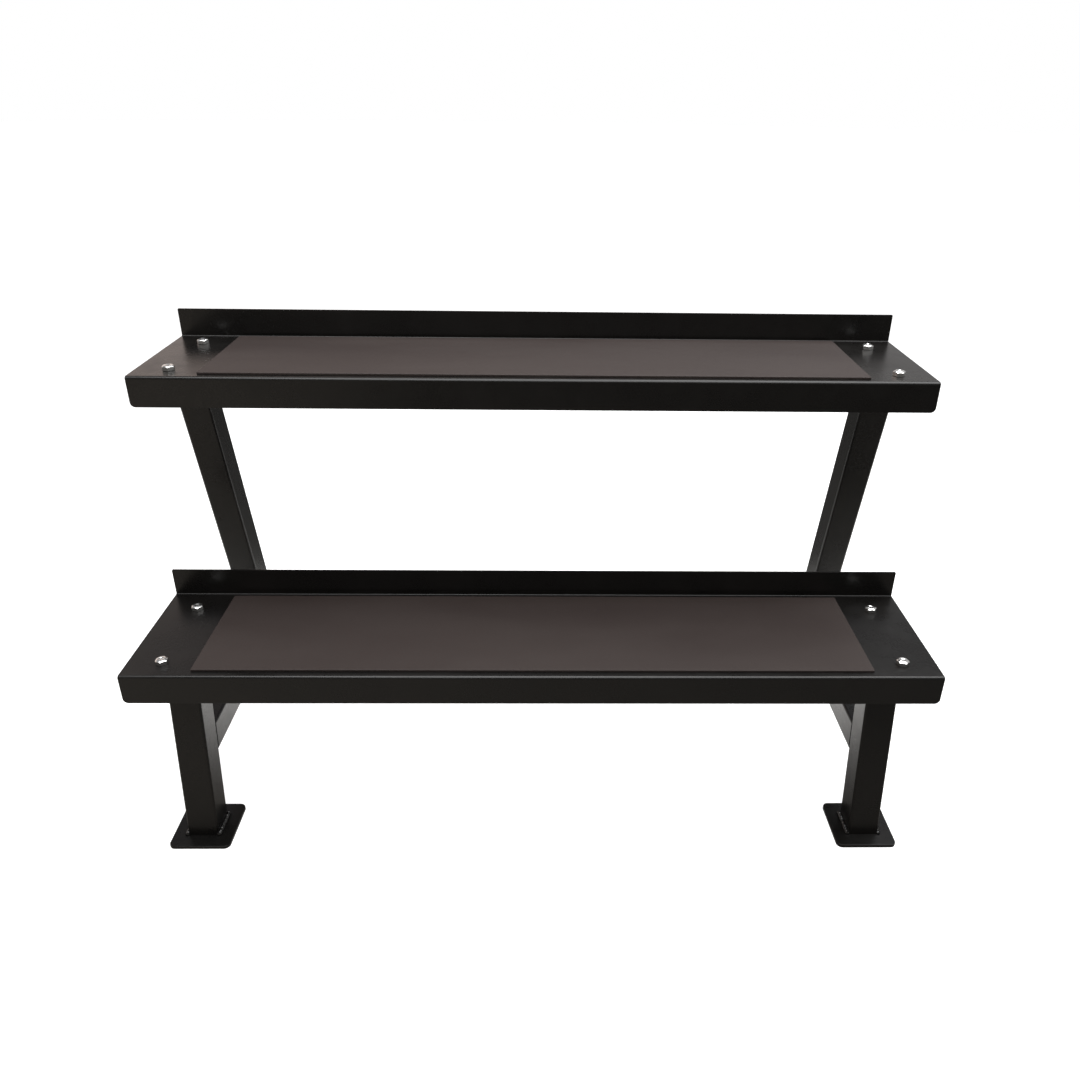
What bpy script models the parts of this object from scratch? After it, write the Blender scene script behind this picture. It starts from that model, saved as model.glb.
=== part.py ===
"""Two-tier dumbbell rack.

Two welded side frames of square tube stand on foot plates. Each frame has a front leg, a rear
leg, a low side rail and two short arms. Two folded sheet trays are bolted down to the arms, and a
thin rubber mat lies in each tray.

Metres, +Z up. +X runs along the trays, +Y from the front to the back. The origin is on the floor,
at the middle of the rack's footprint.
"""
import math

import bmesh
import bpy
from mathutils import Matrix, Vector

# Overall layout
OVERALL_DEPTH = 0.570
FRONT_Y = -OVERALL_DEPTH / 2
LOWER_TRAY_Z = 0.360
UPPER_TRAY_Z = 0.745
TIER_STEP_BACK = 0.217
TOUCH_GAP = 0.0003

# Folded sheet tray: a flange down at the front, a flange up at the back
TRAY_LENGTH = 1.220
TRAY_DEPTH = 0.243
SHEET = 0.003
FRONT_DROP = 0.048
BACK_RISE = 0.046
BEND_RADIUS = 0.0045
FRONT_CORNER = 0.008
FRONT_CORNER_STEPS = 4
BACK_CORNER = 0.002
BACK_CORNER_STEPS = 2
BEND_STEPS = 4

# Rubber mat
MAT_LENGTH = 1.016
MAT_DEPTH = 0.2155
MAT_THICKNESS = 0.003
MAT_SETBACK = 0.0135

# Side frames of square tube
FRAME_X = 0.557
TUBE = 0.050
TUBE_WALL = 0.0025
TUBE_CORNER = 0.004
CORNER_STEPS = 2
FRONT_LEAN = math.radians(7.5)
REAR_LEAN = math.radians(14.5)
FRONT_FOOT_Y = FRONT_Y + 0.0685
REAR_FOOT_Y = -FRONT_Y - 0.050
RAIL_Z = 0.160

# Arms under the trays, with a plastic plug in each end
ARM_LENGTH = 0.200
ARM_HEIGHT = 0.030
ARM_SETBACK = 0.0125
PLUG_FLANGE = 0.003
PLUG_DEPTH = 0.010
PLUG_PLAY = 0.0004

# Foot plates
PLATE = 0.100
PLATE_THICKNESS = 0.006
PLATE_CORNER = 0.010
PLATE_CORNER_STEPS = 4

# M10 hexagon bolts, washers and nuts
BOLT_RADIUS = 0.005
BOLT_LENGTH = 0.050
TIP_RADIUS = 0.00425
TIP_LENGTH = 0.001
HEX_ACROSS_FLATS = 0.017
FACE_RADIUS = 0.95 * HEX_ACROSS_FLATS / 2
CHAMFER = math.radians(30)
HEAD_HEIGHT = 0.0080
NUT_HEIGHT = 0.008
WASHER_RADIUS = 0.010
WASHER_THICKNESS = 0.002
HOLE_RADIUS = 0.0055
NUT_BORE = 0.0054
BOLT_SETBACKS = (0.035, 0.190)
RING_POINTS = 12
HOLE_POINTS = 16

SHARP_ANGLE = math.radians(30)
SAME_PLACE = 1e-6

SIDES = (("left", -1.0), ("right", 1.0))
TIERS = (("lower", FRONT_Y, LOWER_TRAY_Z), ("upper", FRONT_Y + TIER_STEP_BACK, UPPER_TRAY_Z))

BLACK_COAT = ("black_powder_coat", (0.012, 0.012, 0.012), 0.35, 0.0)
BLACK_RUBBER = ("black_rubber", (0.055, 0.045, 0.043), 0.75, 0.0)
BLACK_PLASTIC = ("black_plastic", (0.02, 0.02, 0.02), 0.5, 0.0)
BRIGHT_ZINC = ("bright_zinc", (0.78, 0.79, 0.8), 0.25, 1.0)


def clear_scene():
    for item in list(bpy.data.objects):
        bpy.data.objects.remove(item)


def material(finish):
    """The Principled material of one finish, made once and shared."""
    name, colour, roughness, metallic = finish
    found = bpy.data.materials.get(name)
    if found:
        return found
    made = bpy.data.materials.new(name)
    made.use_nodes = True
    shader = made.node_tree.nodes["Principled BSDF"]
    shader.inputs["Base Color"].default_value = (*colour, 1.0)
    shader.inputs["Roughness"].default_value = roughness
    shader.inputs["Metallic"].default_value = metallic
    return made


def finish_piece(name, bm, finish, location=(0.0, 0.0, 0.0), rotation=(0.0, 0.0, 0.0)):
    """Turn a bmesh into a named object with outward faces."""
    bmesh.ops.recalc_face_normals(bm, faces=bm.faces)
    mesh = bpy.data.meshes.new(name)
    bm.to_mesh(mesh)
    bm.free()
    mesh.materials.append(material(finish))
    mesh.shade_smooth()
    mesh.set_sharp_from_angle(angle=SHARP_ANGLE)
    piece = bpy.data.objects.new(name, mesh)
    piece.location = location
    piece.rotation_euler = rotation
    bpy.context.scene.collection.objects.link(piece)
    return piece


def ring(bm, points):
    """A closed loop of edges through the points."""
    verts = [bm.verts.new(point) for point in points]
    return [bm.edges.new((verts[i - 1], verts[i])) for i in range(len(verts))]


def arc(centre, radius, start, stop, steps):
    """Points on an arc in a plane, from one angle to another."""
    turns = [start + (stop - start) * i / steps for i in range(steps + 1)]
    return [(centre[0] + radius * math.cos(a), centre[1] + radius * math.sin(a)) for a in turns]


def rounded_rectangle(width, height, radius, steps=CORNER_STEPS):
    """Outline of a rounded rectangle about the origin, anticlockwise."""
    outline = []
    for quarter, (sx, sy) in enumerate(((1, 1), (-1, 1), (-1, -1), (1, -1))):
        centre = (sx * (width / 2 - radius), sy * (height / 2 - radius))
        start = quarter * math.pi / 2
        outline += arc(centre, radius, start, start + math.pi / 2, steps)
    return outline


def circle(radius, count):
    return arc((0.0, 0.0), radius, 0.0, math.tau * (count - 1) / count, count - 1)


def hexagon_radius(angle):
    """Distance from a hexagon's centre to its outline, with corners at multiples of 60 degrees."""
    from_flat = (angle - math.pi / 6) % (math.pi / 3)
    from_flat = min(from_flat, math.pi / 3 - from_flat)
    return HEX_ACROSS_FLATS / 2 / math.cos(from_flat)


def stacked_rings(bm, rings):
    """A closed skin through rings of equal counts, with flat ends."""
    loops = [ring(bm, points) for points in rings]
    for below, above in zip(loops, loops[1:]):
        bmesh.ops.bridge_loops(bm, edges=below + above)
    for last in (loops[0], loops[-1]):
        bmesh.ops.contextual_create(bm, geom=last)


def side_tube(name, start, end, start_normal, end_normal, height=TUBE):
    """A hollow tube between two end planes. Its centre line lies in a plane of constant X."""
    bm = bmesh.new()
    inner_corner = TUBE_CORNER - TUBE_WALL
    outer = rounded_rectangle(TUBE, height, TUBE_CORNER)
    inner = rounded_rectangle(TUBE - 2 * TUBE_WALL, height - 2 * TUBE_WALL, inner_corner)
    across = Vector((1.0, 0.0, 0.0))
    along = (end - start).normalized()
    up = along.cross(across)
    edges = []
    for outline in (outer, inner):
        edges += ring(bm, [across * u + up * v for u, v in outline])
    wall = bmesh.ops.bridge_loops(bm, edges=edges)["faces"]
    far = bmesh.ops.extrude_face_region(bm, geom=wall)["geom"]
    far_verts = {item for item in far if isinstance(item, bmesh.types.BMVert)}
    for vert in bm.verts:
        centre, normal = (end, end_normal) if vert in far_verts else (start, start_normal)
        slide = -vert.co.dot(normal) / along.dot(normal)
        vert.co = centre + vert.co + along * slide
    return finish_piece(name, bm, BLACK_COAT)


def drill(piece, places, depth):
    """Cut vertical bolt holes, all in one boolean."""
    bm = bmesh.new()
    for place in places:
        shift = Matrix.Translation(place)
        bmesh.ops.create_cone(bm, cap_ends=True, segments=HOLE_POINTS, radius1=HOLE_RADIUS,
                              radius2=HOLE_RADIUS, depth=depth, matrix=shift)
    cutter = finish_piece(piece.name + "_holes", bm, BLACK_COAT)
    cutter.hide_render = True
    cutter.display_type = "WIRE"
    cut = piece.modifiers.new("bolt_holes", "BOOLEAN")
    cut.operation = "DIFFERENCE"
    cut.solver = "EXACT"
    cut.object = cutter


def bolt_places(front_y, z):
    """Bolt centres of one tier, at a height."""
    return [Vector((sign * FRAME_X, front_y + back, z)) for _, sign in SIDES for back in BOLT_SETBACKS]


def tray_outline():
    """Section of the folded sheet: depth from the front face, height from the tray's top."""
    inside = BEND_RADIUS - SHEET
    quarter = math.pi / 2
    back_bend = (TRAY_DEPTH - BEND_RADIUS, BEND_RADIUS - SHEET)
    front_bend = (BEND_RADIUS, -BEND_RADIUS)
    outline = [(0.0, -FRONT_DROP), (SHEET, -FRONT_DROP)]
    outline += arc(front_bend, inside, 2 * quarter, quarter, BEND_STEPS)
    outline += arc(back_bend, BEND_RADIUS, -quarter, 0.0, BEND_STEPS)
    outline += [(TRAY_DEPTH, BACK_RISE), (TRAY_DEPTH - SHEET, BACK_RISE)]
    outline += arc(back_bend, inside, 0.0, -quarter, BEND_STEPS)
    outline += arc(front_bend, BEND_RADIUS, quarter, 2 * quarter, BEND_STEPS)
    return outline


def round_flange_corners(bm, height, radius, steps):
    """Round the corners at a flange's free edge, seen from the front."""
    across = [edge for edge in bm.edges
              if all(abs(vert.co.z - height) < SAME_PLACE for vert in edge.verts)
              and abs(edge.verts[0].co.x - edge.verts[1].co.x) < SAME_PLACE]
    bmesh.ops.bevel(bm, geom=across, offset=radius, offset_type="OFFSET", affect="EDGES",
                    segments=steps, profile=0.5, material=-1)


def tray(tier, front_y, tray_z):
    bm = bmesh.new()
    half = TRAY_LENGTH / 2
    edges = ring(bm, [(-half, y, z) for y, z in tray_outline()])
    end = bmesh.ops.contextual_create(bm, geom=edges)["faces"]
    far = bmesh.ops.extrude_face_region(bm, geom=end)["geom"]
    far_verts = [item for item in far if isinstance(item, bmesh.types.BMVert)]
    bmesh.ops.translate(bm, verts=far_verts, vec=(TRAY_LENGTH, 0.0, 0.0))
    round_flange_corners(bm, -FRONT_DROP, FRONT_CORNER, FRONT_CORNER_STEPS)
    round_flange_corners(bm, BACK_RISE, BACK_CORNER, BACK_CORNER_STEPS)
    piece = finish_piece(tier + "_tray", bm, BLACK_COAT, location=(0.0, front_y, tray_z))
    drill(piece, bolt_places(front_y, tray_z - SHEET / 2), 4 * SHEET)


def mat(tier, front_y, tray_z):
    bm = bmesh.new()
    size = (MAT_LENGTH, MAT_DEPTH, MAT_THICKNESS)
    bmesh.ops.create_cube(bm, size=1.0, matrix=Matrix.Diagonal((*size, 1.0)))
    place = (0.0, front_y + MAT_SETBACK + MAT_DEPTH / 2, tray_z + TOUCH_GAP + MAT_THICKNESS / 2)
    finish_piece(tier + "_mat", bm, BLACK_RUBBER, location=place)


def plug(name, x, y, z, outward):
    """A plastic plug: a thin cap outside the tube and a block pushed into it."""
    bm = bmesh.new()
    trim = 2 * (TUBE_WALL + PLUG_PLAY)
    cap = rounded_rectangle(TUBE, ARM_HEIGHT, TUBE_CORNER)
    block = rounded_rectangle(TUBE - trim, ARM_HEIGHT - trim, TUBE_CORNER - TUBE_WALL)
    levels = ((cap, 0.0), (cap, PLUG_FLANGE), (block, PLUG_FLANGE), (block, PLUG_FLANGE + PLUG_DEPTH))
    stacked_rings(bm, [[(u, depth, v) for u, v in outline] for outline, depth in levels])
    turn = 0.0 if outward < 0 else math.pi
    finish_piece(name, bm, BLACK_PLASTIC, location=(x, y, z), rotation=(0.0, 0.0, turn))


def arm(tier, side, sign, front_y, tray_z):
    """A level tube under one end of a tray, with bolt holes and two end plugs."""
    x = sign * FRAME_X
    z = tray_z - SHEET - TOUCH_GAP - ARM_HEIGHT / 2
    start = Vector((x, front_y + ARM_SETBACK, z))
    end = start + Vector((0.0, ARM_LENGTH, 0.0))
    level = Vector((0.0, 1.0, 0.0))
    piece = side_tube(f"{tier}_arm_{side}", start, end, level, level, height=ARM_HEIGHT)
    drill(piece, [Vector((x, front_y + back, z)) for back in BOLT_SETBACKS], 2 * ARM_HEIGHT)
    outside = PLUG_FLANGE + TOUCH_GAP
    plug(f"{tier}_arm_plug_front_{side}", x, start.y - outside, z, -1)
    plug(f"{tier}_arm_plug_rear_{side}", x, end.y + outside, z, 1)


def leg_centre(foot_y, lean, z):
    """Centre of a leaning leg at a height. A positive lean carries it back as it rises."""
    return foot_y + (z - PLATE_THICKNESS) * math.tan(lean)


def leg(name, sign, foot_y, lean, tray_z):
    """A leaning tube from its foot plate to the underside of an arm."""
    bottom = PLATE_THICKNESS + TOUCH_GAP
    top = tray_z - SHEET - ARM_HEIGHT - 2 * TOUCH_GAP
    start = Vector((sign * FRAME_X, leg_centre(foot_y, lean, bottom), bottom))
    end = Vector((sign * FRAME_X, leg_centre(foot_y, lean, top), top))
    level = Vector((0.0, 0.0, 1.0))
    side_tube(name, start, end, level, level)


def side_rail(side, sign):
    """A level tube between the two legs of a frame, mitred to their lean."""
    front_face = leg_centre(FRONT_FOOT_Y, FRONT_LEAN, RAIL_Z) + TUBE / 2 / math.cos(FRONT_LEAN)
    rear_face = leg_centre(REAR_FOOT_Y, -REAR_LEAN, RAIL_Z) - TUBE / 2 / math.cos(REAR_LEAN)
    start = Vector((sign * FRAME_X, front_face + TOUCH_GAP, RAIL_Z))
    end = Vector((sign * FRAME_X, rear_face - TOUCH_GAP, RAIL_Z))
    front_normal = Vector((0.0, math.cos(FRONT_LEAN), -math.sin(FRONT_LEAN)))
    rear_normal = Vector((0.0, math.cos(REAR_LEAN), math.sin(REAR_LEAN)))
    side_tube("side_rail_" + side, start, end, front_normal, rear_normal)


def foot_plate(name, sign, foot_y):
    bm = bmesh.new()
    outline = rounded_rectangle(PLATE, PLATE, PLATE_CORNER, PLATE_CORNER_STEPS)
    stacked_rings(bm, [[(u, v, z) for u, v in outline] for z in (0.0, PLATE_THICKNESS)])
    finish_piece(name, bm, BLACK_COAT, location=(sign * FRAME_X, foot_y, 0.0))


def hexagon_ring(z_of_radius):
    """A hexagon outline, with a height given for each distance from the centre."""
    turns = [math.tau * i / RING_POINTS for i in range(RING_POINTS)]
    sizes = [hexagon_radius(turn) for turn in turns]
    return [(r * math.cos(a), r * math.sin(a), z_of_radius(r)) for r, a in zip(sizes, turns)]


def level_ring(radius, z):
    return [(x, y, z) for x, y in circle(radius, RING_POINTS)]


def chamfer_drop(radius):
    """How far the chamfer has dropped at a distance from the centre."""
    return (radius - FACE_RADIUS) * math.tan(CHAMFER)


def bolt(name, place):
    bm = bmesh.new()
    stacked_rings(bm, [level_ring(TIP_RADIUS, -BOLT_LENGTH),
                       level_ring(BOLT_RADIUS, -BOLT_LENGTH + TIP_LENGTH),
                       level_ring(BOLT_RADIUS, 0.0),
                       hexagon_ring(lambda r: 0.0),
                       hexagon_ring(lambda r: HEAD_HEIGHT - chamfer_drop(r)),
                       level_ring(FACE_RADIUS, HEAD_HEIGHT)])
    finish_piece(name, bm, BRIGHT_ZINC, location=place)


def pierced_disc(name, place, rings):
    """A washer or nut: a closed skin through rings that return to the first."""
    bm = bmesh.new()
    loops = [ring(bm, points) for points in rings]
    for below, above in zip(loops, loops[1:] + loops[:1]):
        bmesh.ops.bridge_loops(bm, edges=below + above)
    finish_piece(name, bm, BRIGHT_ZINC, location=place)


def washer(name, place):
    pierced_disc(name, place, [level_ring(HOLE_RADIUS, 0.0),
                               level_ring(WASHER_RADIUS, 0.0),
                               level_ring(WASHER_RADIUS, WASHER_THICKNESS),
                               level_ring(HOLE_RADIUS, WASHER_THICKNESS)])


def nut(name, place):
    pierced_disc(name, place, [level_ring(NUT_BORE, 0.0),
                               level_ring(FACE_RADIUS, 0.0),
                               hexagon_ring(chamfer_drop),
                               hexagon_ring(lambda r: NUT_HEIGHT - chamfer_drop(r)),
                               level_ring(FACE_RADIUS, NUT_HEIGHT),
                               level_ring(NUT_BORE, NUT_HEIGHT)])


def fasteners(tier, front_y, tray_z):
    """A bolt, washer and nut at each of the tier's four places."""
    names = [f"{row}_{side}" for side, _ in SIDES for row in ("front", "rear")]
    arm_bottom = tray_z - SHEET - ARM_HEIGHT - TOUCH_GAP
    washer_z = arm_bottom - TOUCH_GAP - WASHER_THICKNESS
    nut_z = washer_z - TOUCH_GAP - NUT_HEIGHT
    for place_name, place in zip(names, bolt_places(front_y, 0.0)):
        above = Vector((place.x, place.y, tray_z + TOUCH_GAP))
        bolt(f"{tier}_bolt_{place_name}", above)
        washer(f"{tier}_washer_{place_name}", Vector((place.x, place.y, washer_z)))
        nut(f"{tier}_nut_{place_name}", Vector((place.x, place.y, nut_z)))


def side_frame(side, sign):
    leg("front_leg_" + side, sign, FRONT_FOOT_Y, FRONT_LEAN, LOWER_TRAY_Z)
    leg("rear_leg_" + side, sign, REAR_FOOT_Y, -REAR_LEAN, UPPER_TRAY_Z)
    side_rail(side, sign)
    foot_plate("front_foot_plate_" + side, sign, FRONT_FOOT_Y)
    foot_plate("rear_foot_plate_" + side, sign, REAR_FOOT_Y)
    for tier, front_y, tray_z in TIERS:
        arm(tier, side, sign, front_y, tray_z)


def main():
    clear_scene()
    for side, sign in SIDES:
        side_frame(side, sign)
    for tier, front_y, tray_z in TIERS:
        tray(tier, front_y, tray_z)
        mat(tier, front_y, tray_z)
        fasteners(tier, front_y, tray_z)


main()
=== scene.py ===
"""Looks for a two-tier dumbbell rack, laid out as a Blender add-on.

The frame's parts stay where they are. Each operator models one kind of piece in their place, in
metres: +X runs along the trays, +Y from the front to the back and +Z up, with the floor at zero.
"""
import random
from math import acos, atan2, ceil, cos, hypot, pi, radians, sin, tan, tau

import bmesh
import bpy
from bpy.props import FloatProperty, FloatVectorProperty, PointerProperty
from bpy.types import Operator, Panel, PropertyGroup
from mathutils import Matrix, Vector


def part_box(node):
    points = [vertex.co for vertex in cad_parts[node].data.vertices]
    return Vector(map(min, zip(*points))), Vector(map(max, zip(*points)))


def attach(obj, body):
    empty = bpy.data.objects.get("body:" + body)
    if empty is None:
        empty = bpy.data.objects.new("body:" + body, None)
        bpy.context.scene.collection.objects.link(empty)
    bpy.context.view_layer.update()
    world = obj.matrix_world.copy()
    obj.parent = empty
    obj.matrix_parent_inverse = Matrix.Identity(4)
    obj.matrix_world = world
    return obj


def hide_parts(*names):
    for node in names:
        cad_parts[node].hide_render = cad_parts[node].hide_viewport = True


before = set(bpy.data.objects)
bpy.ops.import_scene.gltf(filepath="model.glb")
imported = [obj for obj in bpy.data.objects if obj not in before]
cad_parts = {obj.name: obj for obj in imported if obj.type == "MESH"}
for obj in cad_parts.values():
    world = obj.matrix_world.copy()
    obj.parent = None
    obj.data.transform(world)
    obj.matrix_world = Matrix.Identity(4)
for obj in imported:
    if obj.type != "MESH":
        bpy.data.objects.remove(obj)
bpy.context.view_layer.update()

bl_info = {
    "name": "Two-tier Dumbbell Rack",
    "version": (1, 0, 0),
    "blender": (4, 5, 0),
    "location": "3D View > Sidebar > Rack",
    "description": "Models the trays, side frames, fasteners and finishes of a dumbbell rack",
    "category": "Add Mesh",
}

SIDES = ("left", "right")
TIERS = ("lower", "upper")
ROWS = ("front", "rear")
BOLT_PLACES = [(tier, row, side) for tier in TIERS for row in ROWS for side in SIDES]
SMOOTH_ANGLE = radians(35)
HAIR = 1e-6

# Steps round a bevel
FOLD_STEPS = 10
CORNER_STEPS = 10
TUBE_STEPS = 6
RIM_STEPS = 4

# Small roundings and clearances, in metres
MAT_CORNER = 0.0015
PLUG_RIM = 0.0014
PLUG_PLAY = 0.0004
WASHER_EDGE = 0.0003
BORE_FLARE = 0.0008
BORE_PLAY = 0.0001

# Bolts: dish and crown of the head, as shares of its face's radius and of the dish's depth
DISH = ((0.0, 1.0), (0.25, 1.0), (0.38, 0.7), (0.49, 0.2), (0.57, 0.0))
CREST = DISH[-1][0]
CROWN = (0.15, 0.35, 0.55, 0.75, 1.0)
CHAMFER_SLOPE = tan(radians(30))
THREAD_LENGTH = 0.022
THREAD_DEPTH = 0.61
RINGS_PER_PITCH = 6

# Weld beads: sizes of the last points at each end, and how unevenly a bead swells
BEAD_ENDS = (0.35, 0.7, 0.9)
BEAD_SWELL = 0.45
POINTS_PER_RIPPLE = 4

# Stage: where the reflected floor changes, in metres along X or Y, and the wide overhead light
FLOOR_NEAR = (-1.9, -1.1)
FLOOR_STEEP = (-1.5, -0.4)
FLOOR_GENTLE = (-5.8, 1.9)
FLOOR_UNDER = (-0.2, 0.2)
FLOOR_BEHIND = (0.25, 0.8)
FLOOR_SIZE = 30.0
BACKDROP_RADIUS = 28.0
SOFTBOX_PLACE = (0.4, -0.25, 2.6)
SOFTBOX_TARGET = (0.2, 0.0, 0.4)
SOFTBOX_SIZE = (4.0, 2.7)

# Sockets of a Mix node that blends colours
MIX_FACTOR, MIX_FIRST, MIX_SECOND, MIX_RESULT = 0, 6, 7, 2


# Sizes and colours

class RackSizes(PropertyGroup):
    """Small sizes that the frame's boxes don't give."""

    sheet: FloatProperty(
        name="Sheet", description="Thickness of the folded trays",
        default=0.003, min=0.001, precision=4, unit="LENGTH")
    fold_radius: FloatProperty(
        name="Fold radius", description="Outer radius of the folds in a tray",
        default=0.0045, min=0.0032, precision=4, unit="LENGTH")
    front_corner: FloatProperty(
        name="Front corner", description="Radius at the lower corners of a tray's front flange",
        default=0.008, precision=4, unit="LENGTH")
    rear_corner: FloatProperty(
        name="Rear corner", description="Radius at the upper corners of a tray's rear flange",
        default=0.002, precision=4, unit="LENGTH")
    cut_edge: FloatProperty(
        name="Cut edge", description="Softening that the coating gives to a cut edge of steel",
        default=0.0005, precision=4, unit="LENGTH")
    tube_corner: FloatProperty(
        name="Tube corner", description="Outer corner radius of the square tube",
        default=0.004, precision=4, unit="LENGTH")
    tube_wall: FloatProperty(
        name="Tube wall", description="Wall thickness of the square tube",
        default=0.0025, precision=4, unit="LENGTH")
    plate_corner: FloatProperty(
        name="Plate corner", description="Corner radius of a foot plate",
        default=0.010, precision=4, unit="LENGTH")
    mat_edge: FloatProperty(
        name="Mat edge", description="Rounding of a rubber mat's top edge",
        default=0.0009, precision=4, unit="LENGTH")
    plug_cap: FloatProperty(
        name="Plug cap", description="Thickness of a plug's cap outside its tube",
        default=0.003, precision=4, unit="LENGTH")
    across_flats: FloatProperty(
        name="Across flats", description="Width of a hexagon across its flats",
        default=0.017, precision=4, unit="LENGTH")
    face_radius: FloatProperty(
        name="Face radius", description="Radius of the round flat inside a hexagon's chamfer",
        default=0.0071, precision=4, unit="LENGTH")
    dish_depth: FloatProperty(
        name="Dish depth", description="Depth of the dish in the middle of a bolt's head",
        default=0.0008, precision=4, unit="LENGTH")
    crown_drop: FloatProperty(
        name="Crown drop", description="How far a bolt's head falls from its crest to its chamfer",
        default=0.0006, precision=4, unit="LENGTH")
    head_height: FloatProperty(
        name="Head height", description="Height of a bolt's head",
        default=0.0080, precision=4, unit="LENGTH")
    shank_radius: FloatProperty(
        name="Shank radius", description="Radius of a bolt over its thread",
        default=0.005, precision=4, unit="LENGTH")
    thread_pitch: FloatProperty(
        name="Thread pitch", description="Distance between two turns of the thread",
        default=0.0015, precision=4, unit="LENGTH")
    hole_radius: FloatProperty(
        name="Hole radius", description="Radius of a bolt hole",
        default=0.0055, precision=4, unit="LENGTH")
    bead_radius: FloatProperty(
        name="Weld bead", description="Radius of a weld bead's round section",
        default=0.0045, precision=4, unit="LENGTH")
    bead_ripple: FloatProperty(
        name="Weld ripple", description="Distance between two ripples of a weld bead",
        default=0.0036, precision=4, unit="LENGTH")


class RackColours(PropertyGroup):
    """Colours and gloss of the four finishes."""

    coat: FloatVectorProperty(
        name="Powder coat", description="Colour of the black powder coat",
        default=(0.0024, 0.0022, 0.0020), size=3, min=0.0, max=1.0, subtype="COLOR")
    coat_dust: FloatVectorProperty(
        name="Coat haze", description="Colour of the faint haze left by handling on the coat",
        default=(0.0048, 0.0042, 0.0037), size=3, min=0.0, max=1.0, subtype="COLOR")
    coat_roughness: FloatProperty(
        name="Coat roughness", description="How dull the powder coat is",
        default=0.24, min=0.0, max=1.0, subtype="FACTOR")
    rubber: FloatVectorProperty(
        name="Rubber", description="Colour of the rubber mats",
        default=(0.0150, 0.0095, 0.0082), size=3, min=0.0, max=1.0, subtype="COLOR")
    rubber_bloom: FloatVectorProperty(
        name="Rubber bloom", description="Paler colour that blooms in patches on the rubber",
        default=(0.0205, 0.0145, 0.0127), size=3, min=0.0, max=1.0, subtype="COLOR")
    rubber_roughness: FloatProperty(
        name="Rubber roughness", description="How dull the rubber is",
        default=0.55, min=0.0, max=1.0, subtype="FACTOR")
    zinc: FloatVectorProperty(
        name="Zinc", description="Colour of the zinc plating on the fasteners",
        default=(0.92, 0.92, 0.90), size=3, min=0.0, max=1.0, subtype="COLOR")
    plastic: FloatVectorProperty(
        name="Plastic", description="Colour of the moulded plugs",
        default=(0.014, 0.014, 0.015), size=3, min=0.0, max=1.0, subtype="COLOR")


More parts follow.
